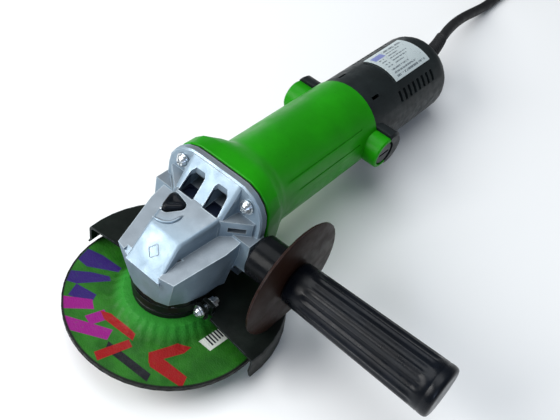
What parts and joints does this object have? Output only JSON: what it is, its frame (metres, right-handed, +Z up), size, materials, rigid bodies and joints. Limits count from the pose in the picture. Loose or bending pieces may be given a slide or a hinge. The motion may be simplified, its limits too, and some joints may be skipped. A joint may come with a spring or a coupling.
{
  "type": "angle grinder",
  "caption": "Slim mains-powered angle grinder with aluminium gear head, green motor body, black guard, side handle and depressed-centre grinding disc.",
  "frame": {"origin": "centre of the bounding box's base, without the cord, on the ground the tool lies on: the disc's rear rim and the tail's underside touch Z = 0", "axes": "+Y from the gear head to the tail (the tool is pitched 10.4 degrees tail-down), +X along the side handle, +Z up"},
  "size_m": [0.2732, 0.655, 0.0981],
  "materials": {
    "cast_aluminium": "bare die-cast, slightly bluish, satin",
    "green_plastic": "deep green glass-filled nylon, satin",
    "dark_plastic": "dark grey nylon, satin",
    "black_plastic": "black, slightly glossy",
    "brown_black_plastic": "very dark brown-black plastic",
    "black_paint": "black painted pressed steel",
    "black_rubber": "matt black",
    "zinc_steel": "bright zinc plated",
    "ground_steel": "ground and polished",
    "lamination_steel": "stacked sheet laminations",
    "copper": "copper",
    "brass": "drawn brass",
    "carbon": "carbon graphite",
    "green_abrasive": "resin-bonded abrasive under a printed paper label",
    "silver_label": "pale silver film label",
    "white_nylon": "natural nylon"
  },
  "bodies": {
    "housing": {"gear_case": "cast_aluminium", "bearing_cover": "black_paint", "spindle_bearing_upper": "ground_steel", "spindle_bearing_lower": "ground_steel", "motor_bearing_front": "ground_steel", "motor_bearing_rear": "ground_steel", "case_screw_1": "zinc_steel", "case_screw_2": "zinc_steel", "case_screw_3": "zinc_steel", "case_screw_4": "zinc_steel", "cover_screw_1": "zinc_steel", "cover_screw_2": "zinc_steel", "cover_screw_3": "zinc_steel", "cover_screw_4": "zinc_steel", "case_gasket": "black_rubber", "motor_housing": "green_plastic", "air_baffle": "white_nylon", "stator_core": "lamination_steel", "field_coil_upper": "copper", "field_coil_lower": "copper", "tail_cover": "dark_plastic", "switch_body": "black_plastic", "nameplate": "silver_label", "brush_holder_left": "brass", "brush_holder_right": "brass", "brush_cap_left": "black_plastic", "brush_cap_right": "black_plastic", "cord_armour": "black_rubber", "cord_tube": "black_rubber", "cord_coil": "black_rubber", "cord_tail": "black_rubber", "plug_body": "black_rubber", "plug_pin_left": "brass", "plug_pin_right": "brass"},
    "spindle": {"spindle": "ground_steel", "bevel_gear": "ground_steel", "inner_flange": "black_paint", "grinding_disc": "green_abrasive", "lock_nut": "zinc_steel"},
    "armature": {"armature_shaft": "ground_steel", "rotor_core": "lamination_steel", "commutator": "copper", "fan": "white_nylon", "pinion": "ground_steel", "pinion_nut": "zinc_steel"},
    "guard": {"guard_shell": "black_paint", "guard_screw": "zinc_steel", "guard_nut": "zinc_steel"},
    "spindle_lock": {"lock_button": "black_plastic", "lock_pin": "ground_steel", "lock_spring": "ground_steel"},
    "brush_left": {"carbon_brush_left": "carbon", "brush_spring_left": "ground_steel"},
    "brush_right": {"carbon_brush_right": "carbon", "brush_spring_right": "ground_steel"},
    "switch": {"switch_knob": "black_plastic", "switch_bar": "white_nylon"},
    "hand_guard": {"hand_guard": "brown_black_plastic"},
    "side_handle": {"handle_grip": "black_plastic", "handle_stud": "zinc_steel"}
  },
  "joints": [
    {"name": "spindle_spin", "type": "hinge", "parent": "housing", "child": "spindle", "pos_m": [-0.0488, -0.10472, 0.07017], "axis": [0, 0.1799, 0.9837], "continuous": true},
    {"name": "armature_spin", "type": "hinge", "parent": "housing", "child": "armature", "pos_m": [-0.0488, -0.10472, 0.07017], "axis": [0, 0.9837, -0.1799], "continuous": true},
    {"name": "guard_turn", "type": "hinge", "parent": "housing", "child": "guard", "pos_m": [-0.0488, -0.11203, 0.03023], "axis": [0, 0.1799, 0.9837], "range_deg": [-45, 40]},
    {"name": "lock_press", "type": "slide", "parent": "housing", "child": "spindle_lock", "axis": [0, -0.1799, -0.9837], "range_m": [0, 0.003], "stiffness_N_per_m": 800, "springref_m": -0.0015, "deforming": ["lock_spring"]},
    {"name": "brush_lift_left", "type": "slide", "parent": "housing", "child": "brush_left", "axis": [-1, 0, 0], "range_m": [0, 0.0012], "stiffness_N_per_m": 300, "springref_m": -0.004},
    {"name": "brush_lift_right", "type": "slide", "parent": "housing", "child": "brush_right", "axis": [1, 0, 0], "range_m": [0, 0.0012], "stiffness_N_per_m": 300, "springref_m": -0.004},
    {"name": "switch_slide", "type": "slide", "parent": "housing", "child": "switch", "axis": [0, -0.9837, 0.1799], "range_m": [0, 0.007]},
    {"name": "handle_out", "type": "slide", "parent": "housing", "child": "hand_guard", "axis": [1, 0, 0], "range_m": [0, 0.006]},
    {"name": "handle_turn", "type": "hinge", "parent": "hand_guard", "child": "side_handle", "pos_m": [-0.0488, -0.07844, 0.05936], "axis": [1, 0, 0], "range_deg": [0, 1440]}
  ],
  "couplings": [
    {"joint": "armature_spin", "follows": "spindle_spin", "ratio": 3},
    {"joint": "handle_turn", "follows": "handle_out", "rad_per_m": 4188.8}
  ]
}
